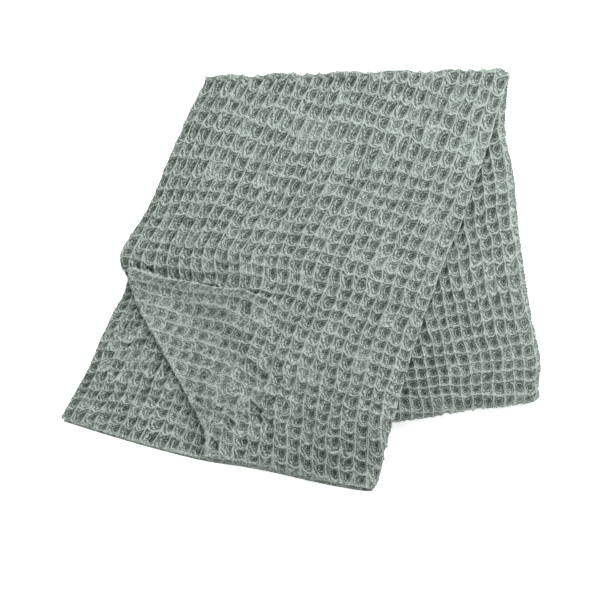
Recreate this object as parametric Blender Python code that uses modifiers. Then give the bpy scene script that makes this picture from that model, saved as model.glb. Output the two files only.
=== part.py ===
"""Waffle-weave cotton bedspread, folded for the shelf and laid with its top flap askew.

The cloth is one rectangle.  It is folded in half twice along its length, which gives
four layers side by side in one strip, and the strip is then folded back and forth into
three legs: the front leg on top, the back leg below it and the under leg at the bottom.
The front leg is turned away from the two below, so that its left part and its hem lie on
the ground.  Its top layer is turned under along a slant at the left, below a raised tuck.

One open grid follows the middle of the cloth, and Solidify gives it its thickness.
Rows of the grid run across the strip, columns run along it.  Metres, +Z up, the
origin in the middle of the underside, the hem towards -Y.
"""
from collections import namedtuple

import bpy
import numpy as np

# Cloth and stack
CLOTH = 0.0020          # thickness of the pressed waffle cloth
PITCH = 0.0040          # height that one layer takes in the stack
LAYERS = 4              # layers in the folded strip
LEG_HEIGHT = LAYERS * PITCH
STACK_BELOW = 2 * LEG_HEIGHT    # back leg and under leg, which carry the front leg

# Folds along the strip's sides
ROLL = 0.012            # how far the outer fold at the right rounds over
INNER_INSET = 0.015     # the inner fold stops this far short of the right side
LEFT_INSET = 0.006      # the lower fold stops this far short of the left side
SECOND_INSET = 0.002    # so does the second layer's edge
UNDER_SPARE = 0.005     # the top layer lies level this far past the strip under it
UNDER_FALL = 0.030      # and comes down to its own level over this much
UNDER_SHARE = 0.3       # share of the crumpling that the strip under it follows
EDGE_STOP = 0.022       # place of the column nearest the left side
SIDE_STOP = 0.050       # place of the next one, from which the rest are even
EVEN_STEPS = 10         # steps from there to the fold at the right

# Slopes by which the front leg comes down beside the stack
SIDE_RAMP = 0.105
FOOT_RAMP = 0.066
SIDE_SPARE = 0.008      # the front leg stays level this far past the stack's side
FOOT_SPARE = 0.003      # and this far past its rounded foot
FRONT_LENGTH = 0.49     # length of the front leg, hem to top fold

# Tuck across the front leg and the crumpled cloth near the hem
TUCK_AT = 0.385         # place along the front leg, 0 at the hem and 1 at the top fold
TUCK_DRIFT = 0.053      # the crest comes this much nearer the hem on its way to the right
TUCK_DRIFT_REACH = 0.40     # share of the width over which it does
TUCK_HEIGHT = 0.013
TUCK_LEAN = 0.006       # the crest leans this far towards the top fold
TUCK_FRONT = 0.011      # half width of the slope on the hem's side
TUCK_REAR = 0.0055      # half width of the slope on the other side
TUCK_FADE = (0.36, 0.60)    # shares of the width between which the tuck runs out
TUCK_PULL = (0.3, 1.0)  # direction in plan in which the crest leans
SHOULDER_HEIGHT = 0.005     # swelling of the top layer beyond the tuck, and its slopes
SHOULDER_RISE = (0.008, 0.024)
SHOULDER_FALL = (0.030, 0.080)
HEM_BOW = 0.009         # how far the middle of the hem bows out
HEM_BOW_REACH = 0.30    # place along the front leg at which the bow has gone
CRUMPLE_HEIGHT = 0.006
CRUMPLE_CENTRE = (-0.070, -0.145)
CRUMPLE_REACH = (0.070, 0.055)
CRUMPLE_WAVE = 0.031
CRUMPLE_CREASES = ((1.0, 0.4, 0.0), (-0.5, 0.83, 1.3))  # X, Y and start of each wave

# Swelling and sinking of the whole stack, as a share of its height
UNEVEN = 0.035
SWELLS = ((13.0, 5.0, 0.6, 1.0), (-9.0, 23.0, 0.0, 0.6))    # X, Y, start and weight

FLAT_CURL = 0.01        # angle under which an edge counts as not curled

SAGE = (0.36, 0.43, 0.385, 1.0)

# Edges of each leg in plan.  along: 0 at the start of the leg, 1 at its end.
# bare: share of the width that the top layer leaves open at the left.
# under: width of the strip of the top layer that is turned under there.
# curl: angle in degrees through which that strip is turned, 0 where it lies flat.
Station = namedtuple("Station", "along left_x left_y right_x right_y bare under curl")

FRONT_LEG = (
    Station(0.000, -0.263, -0.147, 0.079, -0.229, 0.560, 0.034, 180.0),
    Station(0.040, -0.254, -0.127, 0.088, -0.205, 0.520, 0.036, 180.0),
    Station(0.120, -0.239, -0.094, 0.098, -0.166, 0.412, 0.038, 180.0),
    Station(0.200, -0.226, -0.057, 0.110, -0.122, 0.286, 0.036, 180.0),
    Station(0.290, -0.212, -0.018, 0.126, -0.073, 0.140, 0.030, 180.0),
    Station(0.352, -0.201, 0.008, 0.138, -0.039, 0.045, 0.014, 180.0),
    Station(0.370, -0.200, 0.015, 0.142, -0.029, 0.020, 0.010, 140.0),
    Station(0.385, -0.199, 0.022, 0.145, -0.020, 0.004, 0.010, 90.0),
    Station(0.395, -0.201, 0.027, 0.147, -0.015, 0.000, 0.010, 20.0),
    Station(0.410, -0.204, 0.034, 0.150, -0.007, 0.000, 0.010, 0.0),
    Station(0.440, -0.206, 0.047, 0.156, 0.009, 0.000, 0.010, 0.0),
    Station(0.480, -0.201, 0.064, 0.165, 0.030, 0.000, 0.010, 0.0),
    Station(0.600, -0.177, 0.113, 0.190, 0.094, 0.000, 0.010, 0.0),
    Station(0.720, -0.157, 0.163, 0.210, 0.150, 0.000, 0.010, 0.0),
    Station(0.860, -0.134, 0.218, 0.234, 0.221, 0.000, 0.010, 0.0),
    Station(1.000, -0.113, 0.267, 0.254, 0.281, 0.000, 0.010, 0.0),
)

BACK_LEG = (
    Station(0.000, -0.113, 0.267, 0.254, 0.281, 0.000, 0.010, 0.0),
    Station(0.160, -0.104, 0.208, 0.247, 0.212, 0.000, 0.010, 0.0),
    Station(0.300, -0.094, 0.148, 0.252, 0.155, 0.000, 0.010, 0.0),
    Station(0.500, -0.072, 0.058, 0.254, 0.075, 0.000, 0.010, 0.0),
    Station(0.750, -0.042, -0.052, 0.260, -0.025, 0.000, 0.010, 0.0),
    Station(0.920, -0.019, -0.127, 0.266, -0.090, 0.000, 0.010, 0.0),
    Station(1.000, -0.009, -0.155, 0.262, -0.114, 0.000, 0.010, 0.0),
)

UNDER_LEG = (
    Station(0.000, -0.009, -0.155, 0.262, -0.114, 0.000, 0.010, 0.0),
    Station(0.300, -0.032, -0.035, 0.258, 0.004, 0.000, 0.010, 0.0),
    Station(0.700, -0.070, 0.125, 0.250, 0.150, 0.000, 0.010, 0.0),
    Station(1.000, -0.096, 0.246, 0.243, 0.256, 0.000, 0.010, 0.0),
)

# Rows of the grid along each leg, closer where the tuck stands
FRONT_ROWS = (0.0, 0.035, 0.07, 0.11, 0.155, 0.21, 0.26, 0.300, 0.322, 0.336, 0.352, 0.370,
              0.385, 0.395, 0.410, 0.44, 0.50, 0.57, 0.65, 0.74, 0.84, 0.92, 1.0)
BACK_ROWS = (0.0, 0.16, 0.36, 0.60, 0.82, 1.0)
UNDER_ROWS = (0.0, 0.30, 0.65, 1.0)
TURN_STEPS = 5          # steps by which the strip turns half round at each cross fold

# Spans of the grid's columns across the strip, in the order in which the cloth runs
Span = namedtuple("Span", "kind steps")
SPANS = (
    Span("turned under", 2),
    Span("slant fold", 3),
    Span("over strip", 1),
    Span("settling", 2),
    Span("top layer", EVEN_STEPS),
    Span("outer fold", 5),
    Span("bottom layer", EVEN_STEPS + 2),
    Span("lower fold", 3),
    Span("third layer", EVEN_STEPS + 2),
    Span("inner fold", 3),
    Span("second layer", EVEN_STEPS + 2),
)
TOP_SPANS = ("turned under", "slant fold", "over strip", "settling", "top layer")


def smooth(value):
    """Return a soft step from 0 to 1 for value from 0 to 1."""
    value = np.clip(value, 0.0, 1.0)
    return value * value * (3.0 - 2.0 * value)


def station_at(table, along):
    """Return the station of a leg at the given place, between rows of its table."""
    places = np.array([row.along for row in table])
    values = np.array([row[1:] for row in table])
    slopes = np.gradient(values, places, axis=0)
    i = int(np.clip(np.searchsorted(places, along) - 1, 0, len(places) - 2))
    width = places[i + 1] - places[i]
    t = (along - places[i]) / width
    start, end = values[i], values[i + 1]
    change = end - start
    bend = (1 - t) * (slopes[i] * width - change) - t * (slopes[i + 1] * width - change)
    return Station(along, *(start + change * t + t * (1 - t) * bend))


def across(station, reach):
    """Return the plan point at a share of the way from the left side to the right."""
    left = np.array([station.left_x, station.left_y])
    right = np.array([station.right_x, station.right_y])
    return left + (right - left) * reach


def width_of(station):
    """Return the distance between a station's left and right ends."""
    return float(np.hypot(station.right_x - station.left_x, station.right_y - station.left_y))


def section_columns():
    """Return a pair for each column: its span and its share of the way along it."""
    columns = []
    for number, span in enumerate(SPANS):
        first = 0 if number == 0 else 1
        for step in range(first, span.steps + 1):
            columns.append((span, step / span.steps))
    return columns


def between(start, end, share):
    """Return the value at a share of the way from start to end."""
    return start + (end - start) * share


def layer_stop(share, left, right, width):
    """Return a column's reach in the lower layers, at the same places in each of them."""
    stops = [left, EDGE_STOP / width]
    stops += [between(SIDE_STOP / width, right, step / EVEN_STEPS) for step in range(EVEN_STEPS + 1)]
    return stops[int(round(share * (len(stops) - 1)))]


def curled_edge(length, radius, curl):
    """Return how far left and down a point of the top layer's curled edge lies.

    Args:
        length: how far along the cloth it lies from where the edge begins to curl.
        radius: the fold's radius where the strip is turned right under.
        curl: the angle through which the strip is turned, in radians.
    """
    bent = np.pi * radius
    if curl < FLAT_CURL:
        return length, 0.0
    turn = bent / curl
    angle = curl * min(length, bent) / bent
    straight = max(length - bent, 0.0)
    out = turn * np.sin(angle) + straight * np.cos(curl)
    down = turn * (1.0 - np.cos(angle)) + straight * np.sin(curl)
    return out, down


def place_in_section(span, share, station):
    """Return a column's reach across the strip, as a share of its width, and its level."""
    width = width_of(station)
    roll = 1.0 - ROLL / width
    inner = 1.0 - INNER_INSET / width
    left = LEFT_INSET / width
    radius = 0.5 * PITCH
    curl = np.radians(np.clip(station.curl, 0.0, 180.0))
    edge_level = 2.0 - 0.5 * np.cos(curl)
    bent = np.pi * radius
    leftmost = max(curled_edge(length, radius, curl)[0]
                   for length in (0.5 * bent, bent, bent + station.under))
    edge = station.bare + leftmost / width
    past_strip = edge + (max(-np.cos(curl), 0.0) * station.under + UNDER_SPARE) / width
    settled = past_strip + UNDER_FALL / width
    angle = np.pi * share
    if span.kind in ("turned under", "slant fold"):
        length = bent * (1.0 - share)
        if span.kind == "turned under":
            length = bent + station.under * (1.0 - share)
        out, down = curled_edge(length, radius, curl)
        return edge - out / width, edge_level - down / PITCH
    if span.kind == "over strip":
        return between(edge, past_strip, share), edge_level
    if span.kind == "settling":
        return between(past_strip, settled, share), between(edge_level, 1.5, smooth(share))
    if span.kind == "top layer":
        return between(settled, roll, share), 1.5
    if span.kind == "outer fold":
        return roll + ROLL / width * np.sin(angle), 1.5 * np.cos(angle)
    if span.kind == "bottom layer":
        return layer_stop(1.0 - share, left, inner, width), -1.5
    if span.kind == "lower fold":
        return left - radius / width * np.sin(angle), -1.0 - 0.5 * np.cos(angle)
    if span.kind == "third layer":
        return layer_stop(share, left, inner, width), -0.5
    if span.kind == "inner fold":
        return inner + radius / width * np.sin(angle), -0.5 * np.cos(angle)
    return layer_stop(1.0 - share, SECOND_INSET / width, inner, width), 0.5


def support_under(plan):
    """Return the height of the stack under a plan point of the front leg."""
    foot_left, foot_right = across(BACK_LEG[-1], 0.0), across(BACK_LEG[-1], 1.0)
    head_left = across(BACK_LEG[0], 0.0)
    side = head_left - foot_left
    side_normal = np.array([side[1], -side[0]]) / np.hypot(*side)
    front = foot_right - foot_left
    front_normal = np.array([-front[1], front[0]]) / np.hypot(*front)
    inside_left = float(np.dot(plan - foot_left, side_normal)) + SIDE_SPARE
    inside_foot = float(np.dot(plan - foot_left, front_normal)) + LEG_HEIGHT + FOOT_SPARE
    left_part = smooth(1.0 + inside_left / SIDE_RAMP)
    foot_part = smooth(1.0 + inside_foot / FOOT_RAMP)
    return STACK_BELOW * left_part * foot_part


def past_crest(along, reach):
    """Return how far beyond the tuck's crest a place on the front leg lies."""
    crest = TUCK_AT - TUCK_DRIFT * smooth(reach / TUCK_DRIFT_REACH)
    return (along - crest) * FRONT_LENGTH


def tuck_profile(distance):
    """Return the tuck's height, 0 to 1, at a signed distance from its crest."""
    half_width = TUCK_REAR if distance > 0 else TUCK_FRONT
    return np.exp(-(distance / half_width) ** 2)


def shoulder(distance):
    """Return the swelling's height, 0 to 1, at a signed distance from the tuck's crest."""
    rise_start, rise_end = SHOULDER_RISE
    fall_start, fall_end = SHOULDER_FALL
    risen = smooth((distance - rise_start) / (rise_end - rise_start))
    return risen * (1.0 - smooth((distance - fall_start) / (fall_end - fall_start)))


def hem_bow(along, reach):
    """Return how far the strip's rows bow towards the hem at a place on the front leg."""
    inside = min(max(reach, 0.0), 1.0)
    return HEM_BOW * 4.0 * inside * (1.0 - inside) * (1.0 - smooth(along / HEM_BOW_REACH))


def crumple(plan):
    """Return how far the matted cloth near the hem stands up at a plan point."""
    dx = (plan[0] - CRUMPLE_CENTRE[0]) / CRUMPLE_REACH[0]
    dy = (plan[1] - CRUMPLE_CENTRE[1]) / CRUMPLE_REACH[1]
    phase = 2.0 * np.pi / CRUMPLE_WAVE
    bumps = 0.5
    for across_x, across_y, start in CRUMPLE_CREASES:
        bumps += 0.25 * np.sin(phase * (across_x * plan[0] + across_y * plan[1]) + start)
    return CRUMPLE_HEIGHT * bumps * np.exp(-(dx * dx + dy * dy))


def settle(point):
    """Let the stack's height swell and sink a little from place to place."""
    x, y, z = point
    wave = sum(weight * np.sin(along_x * x + along_y * y + start)
               for along_x, along_y, start, weight in SWELLS)
    return np.array([x, y, z + UNEVEN * wave * max(z - PITCH, 0.0)])


def front_point(station, span, share):
    """Return the point of one column on the front leg."""
    reach, level = place_in_section(span, share, station)
    plan = across(station, reach) - np.array([0.0, hem_bow(station.along, reach)])
    height = support_under(plan) + (level + 0.5 * LAYERS) * PITCH
    if span.kind in TOP_SPANS:
        distance = past_crest(station.along, reach)
        fade = 1.0 - smooth((reach - TUCK_FADE[0]) / (TUCK_FADE[1] - TUCK_FADE[0]))
        rise = fade * tuck_profile(distance)
        follows = UNDER_SHARE if span.kind == "turned under" else 1.0
        height += TUCK_HEIGHT * rise + SHOULDER_HEIGHT * fade * shoulder(distance)
        height += follows * crumple(plan)
        plan = plan + np.array(TUCK_PULL) * TUCK_LEAN * rise
    return settle((plan[0], plan[1], height))


def leg_point(station, span, share, floor, flipped):
    """Return the point of one column on the back leg or the under leg."""
    reach, level = place_in_section(span, share, station)
    plan = across(station, reach)
    height = floor + (0.5 * LAYERS + (-level if flipped else level)) * PITCH
    return settle((plan[0], plan[1], height))


def turn_point(station, span, share, turned, axis_height, outward, inner_level):
    """Return the point of one column on a cross fold, where the strip turns half round.

    Args:
        station: the station of the fold line.
        turned: how far the strip has turned, 0 to 1.
        axis_height: height of the line about which it turns.
        outward: +1 where the fold points to +Y, -1 where it points to -Y.
        inner_level: +1 where the strip's high levels lie outside in the fold, else -1.
    """
    reach, level = place_in_section(span, share, station)
    plan = across(station, reach)
    line = across(station, 1.0) - across(station, 0.0)
    normal = np.array([-line[1], line[0]]) / np.hypot(*line) * outward
    radius = (0.5 * LAYERS + inner_level * level) * PITCH
    angle = np.pi * (0.5 - turned)
    plan = plan + normal * radius * np.cos(angle)
    return settle((plan[0], plan[1], axis_height + radius * np.sin(angle)))


def cloth_points():
    """Return the grid of points down the middle of the cloth, rows along the strip."""
    columns = section_columns()
    turns = [step / TURN_STEPS for step in range(1, TURN_STEPS)]
    rows = []
    for along in FRONT_ROWS:
        station = station_at(FRONT_LEG, along)
        rows.append([front_point(station, *column) for column in columns])
    for turned in turns:
        rows.append([turn_point(FRONT_LEG[-1], *column, turned, STACK_BELOW, 1, 1)
                     for column in columns])
    for along in BACK_ROWS:
        station = station_at(BACK_LEG, along)
        rows.append([leg_point(station, *column, LEG_HEIGHT, True) for column in columns])
    for turned in turns:
        rows.append([turn_point(BACK_LEG[-1], *column, turned, LEG_HEIGHT, -1, -1)
                     for column in columns])
    for along in UNDER_ROWS:
        station = station_at(UNDER_LEG, along)
        rows.append([leg_point(station, *column, 0.0, False) for column in columns])
    return np.array(rows)


def centred(points):
    """Move the cloth so that its box stands on the origin, middle of the underside."""
    low = points.min(axis=(0, 1))
    high = points.max(axis=(0, 1))
    middle = 0.5 * (low + high)
    return points - np.array([middle[0], middle[1], low[2] - 0.5 * CLOTH])


def cotton():
    """Return the sage-green cotton finish."""
    material = bpy.data.materials.new("sage_cotton")
    material.use_nodes = True
    shader = material.node_tree.nodes["Principled BSDF"]
    shader.inputs["Base Color"].default_value = SAGE
    shader.inputs["Roughness"].default_value = 0.92
    shader.inputs["Metallic"].default_value = 0.0
    return material


def folded_cloth(name, points, collection):
    """Make the cloth from a grid primitive laid on the points, with its thickness."""
    rows, columns = points.shape[:2]
    bpy.ops.mesh.primitive_grid_add(x_subdivisions=columns - 1, y_subdivisions=rows - 1)
    cloth = bpy.context.object
    cloth.name = name
    cloth.data.name = name
    cloth.data.vertices.foreach_set("co", points.reshape(-1))
    cloth.data.update()
    body = cloth.modifiers.new("thickness", "SOLIDIFY")
    body.thickness = CLOTH
    body.offset = 0.0
    facets = cloth.modifiers.new("facets", "TRIANGULATE")
    facets.quad_method = "SHORTEST_DIAGONAL"
    cloth.data.materials.append(cotton())
    cloth.data.shade_smooth()
    for home in list(cloth.users_collection):
        home.objects.unlink(cloth)
    collection.objects.link(cloth)
    return cloth


def main():
    """Build the bedspread."""
    for leftover in list(bpy.data.objects):
        bpy.data.objects.remove(leftover)
    collection = bpy.data.collections.new("bedspread_parts")
    bpy.context.scene.collection.children.link(collection)
    folded_cloth("bedspread", centred(cloth_points()), collection)


main()
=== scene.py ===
"""Dress the bedspread: waffle-weave cotton, folded for the shelf, on a pale studio floor.

The cloth is one rectangle, folded in half twice along its length and then back and forth
into three legs.  Every piece here is a patch of that one cloth, laid on the same folds as
its solid, with the cells of the weave raised in its points.  The slanting edge of the top
layer alone lies a little further to the left than on the solid.
"""
import logging
from dataclasses import dataclass, field
from enum import Enum
from typing import NamedTuple

import bpy
import numpy as np
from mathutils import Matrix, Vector


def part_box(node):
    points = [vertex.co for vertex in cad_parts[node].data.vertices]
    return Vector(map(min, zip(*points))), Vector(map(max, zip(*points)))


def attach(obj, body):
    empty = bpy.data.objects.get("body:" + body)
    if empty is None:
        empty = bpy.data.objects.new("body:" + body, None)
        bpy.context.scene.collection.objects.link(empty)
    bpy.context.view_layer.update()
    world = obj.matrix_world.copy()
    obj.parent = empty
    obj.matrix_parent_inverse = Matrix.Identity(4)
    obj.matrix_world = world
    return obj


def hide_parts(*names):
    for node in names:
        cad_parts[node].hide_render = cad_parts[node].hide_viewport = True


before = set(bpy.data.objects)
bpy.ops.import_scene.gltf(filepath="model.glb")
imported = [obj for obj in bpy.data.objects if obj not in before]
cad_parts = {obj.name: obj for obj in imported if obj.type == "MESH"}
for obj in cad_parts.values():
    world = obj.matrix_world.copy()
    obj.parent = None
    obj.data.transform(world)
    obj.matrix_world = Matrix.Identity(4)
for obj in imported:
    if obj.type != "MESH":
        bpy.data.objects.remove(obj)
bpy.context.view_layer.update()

Array = np.ndarray
Socket = bpy.types.NodeSocket
Pair = tuple[float, float]
Triple = tuple[float, float, float]

LOG = logging.getLogger("bedspread")
SOLID = "bedspread"

CHANCE_ACROSS = 12.9898
CHANCE_ALONG = 78.233
CHANCE_SEED = 37.719
CHANCE_SCALE = 43758.5453
LEAST_LENGTH = 1e-12


class Station(NamedTuple):
    """The edges of one leg in plan, in metres, at one place along it.

    along is 0 at the leg's start and 1 at its end.  bare is the share of the width that
    the top layer leaves open at the left, under the width of its turned-under strip, and
    curl the angle in degrees through which that strip is turned.
    """

    along: float
    left_x: float
    left_y: float
    right_x: float
    right_y: float
    bare: float = 0.0
    under: float = 0.010
    curl: float = 0.0


FRONT_LEG = (
    Station(0.000, -0.263, -0.147, 0.079, -0.229, 0.470, 0.034, 180.0),
    Station(0.040, -0.254, -0.127, 0.088, -0.205, 0.444, 0.036, 180.0),
    Station(0.120, -0.239, -0.094, 0.098, -0.166, 0.342, 0.038, 180.0),
    Station(0.200, -0.226, -0.057, 0.110, -0.122, 0.222, 0.036, 180.0),
    Station(0.290, -0.212, -0.018, 0.126, -0.073, 0.096, 0.030, 180.0),
    Station(0.352, -0.201, 0.008, 0.138, -0.039, 0.026, 0.014, 180.0),
    Station(0.370, -0.200, 0.015, 0.142, -0.029, 0.012, 0.010, 140.0),
    Station(0.385, -0.199, 0.022, 0.145, -0.020, 0.004, 0.010, 90.0),
    Station(0.395, -0.201, 0.027, 0.147, -0.015, 0.000, 0.010, 20.0),
    Station(0.410, -0.204, 0.034, 0.150, -0.007),
    Station(0.440, -0.206, 0.047, 0.156, 0.009),
    Station(0.480, -0.201, 0.064, 0.165, 0.030),
    Station(0.600, -0.177, 0.113, 0.190, 0.094),
    Station(0.720, -0.157, 0.163, 0.210, 0.150),
    Station(0.860, -0.134, 0.218, 0.234, 0.221),
    Station(1.000, -0.113, 0.267, 0.254, 0.281),
)

BACK_LEG = (
    FRONT_LEG[-1]._replace(along=0.0),
    Station(0.160, -0.104, 0.208, 0.247, 0.212),
    Station(0.300, -0.094, 0.148, 0.252, 0.155),
    Station(0.500, -0.072, 0.058, 0.254, 0.075),
    Station(0.750, -0.042, -0.052, 0.260, -0.025),
    Station(0.920, -0.019, -0.127, 0.266, -0.090),
    Station(1.000, -0.009, -0.155, 0.262, -0.114),
)

UNDER_LEG = (
    BACK_LEG[-1]._replace(along=0.0),
    Station(0.300, -0.032, -0.035, 0.258, 0.004),
    Station(0.700, -0.070, 0.125, 0.250, 0.150),
    Station(1.000, -0.096, 0.246, 0.243, 0.256),
)


class Leg(Enum):
    """The stretches of the folded strip, in the order in which it runs from the hem."""

    FRONT = "front leg"
    TOP_FOLD = "top fold"
    BACK = "back leg"
    FOOT_FOLD = "foot fold"
    UNDER = "under leg"


LEG_TABLES = {
    Leg.FRONT: FRONT_LEG,
    Leg.TOP_FOLD: FRONT_LEG,
    Leg.BACK: BACK_LEG,
    Leg.FOOT_FOLD: BACK_LEG,
    Leg.UNDER: UNDER_LEG,
}


class Span(Enum):
    """The stretches across the strip, in the order in which the cloth runs."""

    TURNED_UNDER = "turned under"
    SLANT_FOLD = "slant fold"
    OVER_STRIP = "over strip"
    SETTLING = "settling"
    TOP = "top layer"
    OUTER_FOLD = "outer fold"
    BOTTOM = "bottom layer"
    LOWER_FOLD = "lower fold"
    THIRD = "third layer"
    INNER_FOLD = "inner fold"
    SECOND = "second layer"


LIFTED_SPANS = (Span.TURNED_UNDER, Span.SLANT_FOLD, Span.OVER_STRIP, Span.SETTLING, Span.TOP)


class Run(NamedTuple):
    """A run of rows or columns of a grid, evenly spread over a stretch of the cloth."""

    part: Enum
    steps: int
    start: float = 0.0
    end: float = 1.0

    def places(self, first: bool) -> Array:
        """Return the run's places, without its start where another run comes before it."""
        places = np.linspace(self.start, self.end, self.steps + 1)
        return places if first else places[1:]


def smooth(value: Array) -> Array:
    """Return a soft step from 0 to 1 for value from 0 to 1."""
    value = np.clip(value, 0.0, 1.0)
    return value * value * (3.0 - 2.0 * value)


def ramp(value: Array, start: float, end: float) -> Array:
    """Return a soft step from 0 at the start to 1 at the end."""
    return smooth((value - start) / (end - start))


def cell_random(column: Array, row: Array, seed: float) -> Array:
    """Return a fixed random value from 0 to 1 for each cell of a lattice."""
    angle = column * CHANCE_ACROSS + row * CHANCE_ALONG + seed * CHANCE_SEED
    value = np.sin(angle) * CHANCE_SCALE
    return value - np.floor(value)


def lattice_noise(x: Array, y: Array, seed: float) -> Array:
    """Return smooth noise from -1 to 1 with about one swell per unit of x and y."""
    column, row = np.floor(x), np.floor(y)
    right, up = smooth(x - column), smooth(y - row)
    low = (cell_random(column, row, seed) * (1.0 - right)
           + cell_random(column + 1.0, row, seed) * right)
    high = (cell_random(column, row + 1.0, seed) * (1.0 - right)
            + cell_random(column + 1.0, row + 1.0, seed) * right)
    return 2.0 * (low * (1.0 - up) + high * up) - 1.0


def rounded(x: Array, y: Array, roundness: float) -> Array:
    """Return the distance from a cell's middle, 1 on its rim and square for a high roundness."""
    return (np.abs(x) ** roundness + np.abs(y) ** roundness) ** (1.0 / roundness)


@dataclass
class Sections:
    """Sections across the strip, one for each row of a grid."""

    along: Array
    left: Array
    right: Array
    bare: Array
    under: Array
    curl: Array

    @classmethod
    def of_leg(cls, table: tuple[Station, ...], along: Array) -> "Sections":
        """Return the sections of a leg between the rows of its table.

        Args:
            table: the leg's stations.
            along: the places wanted, 0 to 1.

        Returns:
            One section for each place.
        """
        places = np.array([row.along for row in table])
        values = np.array([row[1:] for row in table])
        slopes = np.gradient(values, places, axis=0)
        i = np.clip(np.searchsorted(places, along) - 1, 0, len(places) - 2)
        gap = (places[i + 1] - places[i])[:, None]
        t = (along - places[i])[:, None] / gap
        change = values[i + 1] - values[i]
        bend = (1 - t) * (slopes[i] * gap - change) - t * (slopes[i + 1] * gap - change)
        mixed = values[i] + change * t + t * (1 - t) * bend
        left, right, bare, under, curl = np.split(mixed, (2, 4, 5, 6), axis=1)
        return cls(along[:, None], left, right, bare, under,
                   np.radians(np.clip(curl, 0.0, 180.0)))

    @property
    def width(self) -> Array:
        """Return the strip's width at each section."""
        return np.linalg.norm(self.right - self.left, axis=1)[:, None]

    def across(self, reach: Array) -> Array:
        """Return the plan points at shares of the way from the left side to the right."""
        return self.left[:, None] + (self.right - self.left)[:, None] * reach[..., None]


@dataclass
class Place:
    """Where the columns of a grid lie in their sections.

    reach is the share of the width from the left side, level the height in layers about
    the strip's middle, and unrolled the reach measured along the cloth round its folds.
    """

    reach: Array
    level: Array
    unrolled: Array


@dataclass
class Patch:
    """A grid of points on the middle of the cloth, with its place in the weave.

    u and v are columns and rows of cells.  strength is the share of the cells' relief, and of
    their painted shade, that shows, hang how far they sag, negative where the rows are counted
    downwards, flap how far they lie over each other like scales, straight how evenly their
    rows run, and matted how far they are felted together.
    """

    points: Array
    u: Array
    v: Array
    strength: Array
    hang: Array
    flap: Array
    straight: Array
    matted: Array

    @classmethod
    def joined(cls, patches: list["Patch"], axis: int) -> "Patch":
        """Return one patch made of several, end to end for axis 0 or side by side for 1."""
        parts = zip(*(vars(patch).values() for patch in patches))
        return cls(*(np.concatenate(part, axis=axis) for part in parts))

    def reversed(self) -> "Patch":
        """Return the same patch with its other face as the outer one."""
        return Patch(*(part[:, ::-1] for part in vars(self).values()))


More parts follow.
